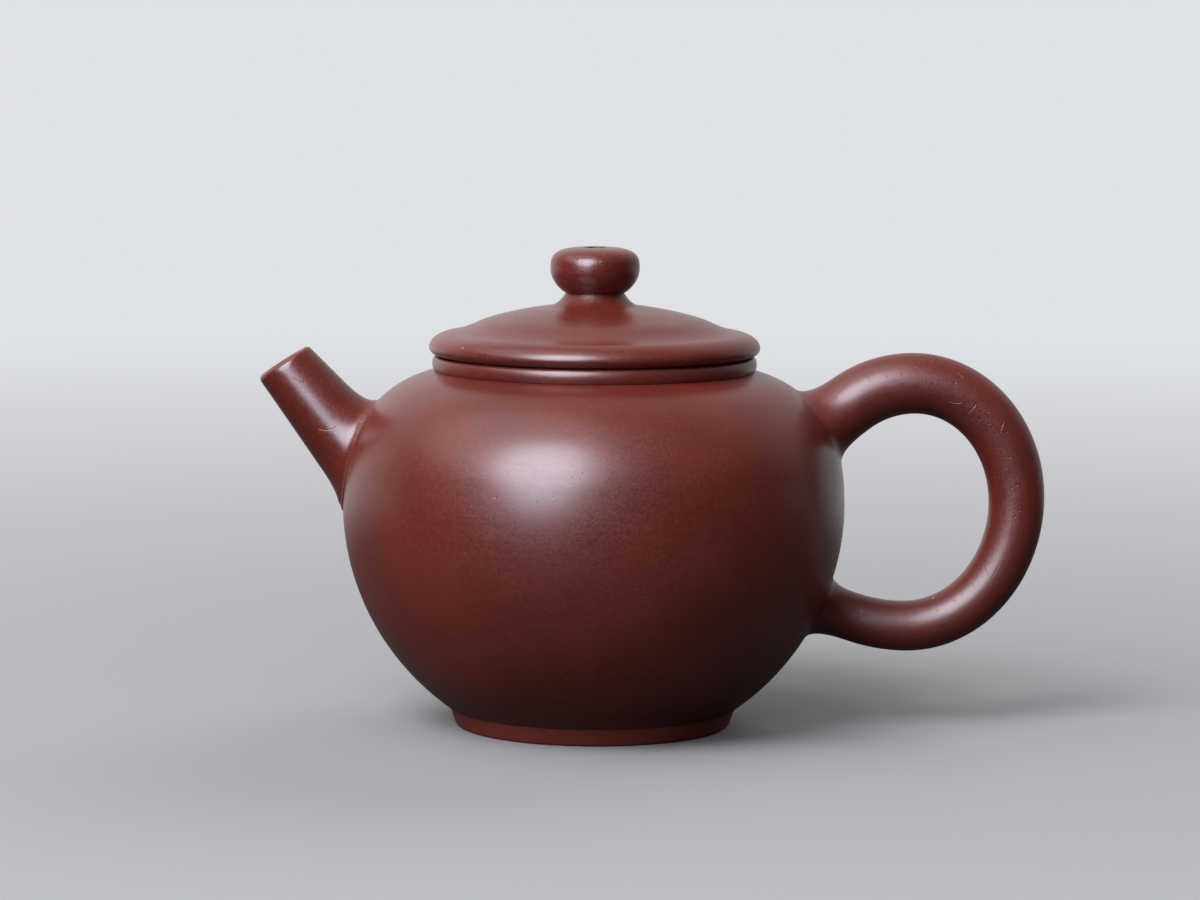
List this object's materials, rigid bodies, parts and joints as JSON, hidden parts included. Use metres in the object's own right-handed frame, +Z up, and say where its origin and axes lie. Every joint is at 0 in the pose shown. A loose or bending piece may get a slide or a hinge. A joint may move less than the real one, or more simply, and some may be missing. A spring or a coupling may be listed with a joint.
{
  "type": "clay teapot",
  "caption": "Round unglazed clay teapot with a ring handle, a short straight spout, a domed lid with a bead knob, an inner strainer and a low foot ring.",
  "frame": {"origin": "centre of the foot ring, on the plane of the table", "axes": "+Z up along the pot's own axis, -X towards the spout, +X towards the handle"},
  "size_m": [0.1206, 0.077, 0.0735],
  "materials": {
    "pot_clay": "burnished unglazed red-brown clay, satin",
    "lid_clay": "burnished unglazed red-brown clay, satin",
    "foot_clay": "trimmed unglazed red-brown clay, matt",
    "inner_clay": "unburnished red-brown clay, matt"
  },
  "bodies": {
    "pot": {"body_wall": "pot_clay", "shoulder_disc": "pot_clay", "base_disc": "foot_clay", "foot_ring": "foot_clay", "neck_ring": "pot_clay", "spout": "pot_clay", "strainer": "inner_clay", "handle": "pot_clay"},
    "lid_collar": {"lid_flange": "inner_clay"},
    "lid": {"lid_rim": "lid_clay", "lid_disc": "lid_clay", "knob_stem": "lid_clay", "knob": "lid_clay"}
  },
  "joints": [
    {"name": "lid_lift", "type": "slide", "parent": "pot", "child": "lid_collar", "axis": [0, 0, 1], "range_m": [0, 0.06]},
    {"name": "lid_turn", "type": "hinge", "parent": "lid_collar", "child": "lid", "pos_m": [0, 0, 0.057], "axis": [0, 0, 1], "continuous": true}
  ]
}
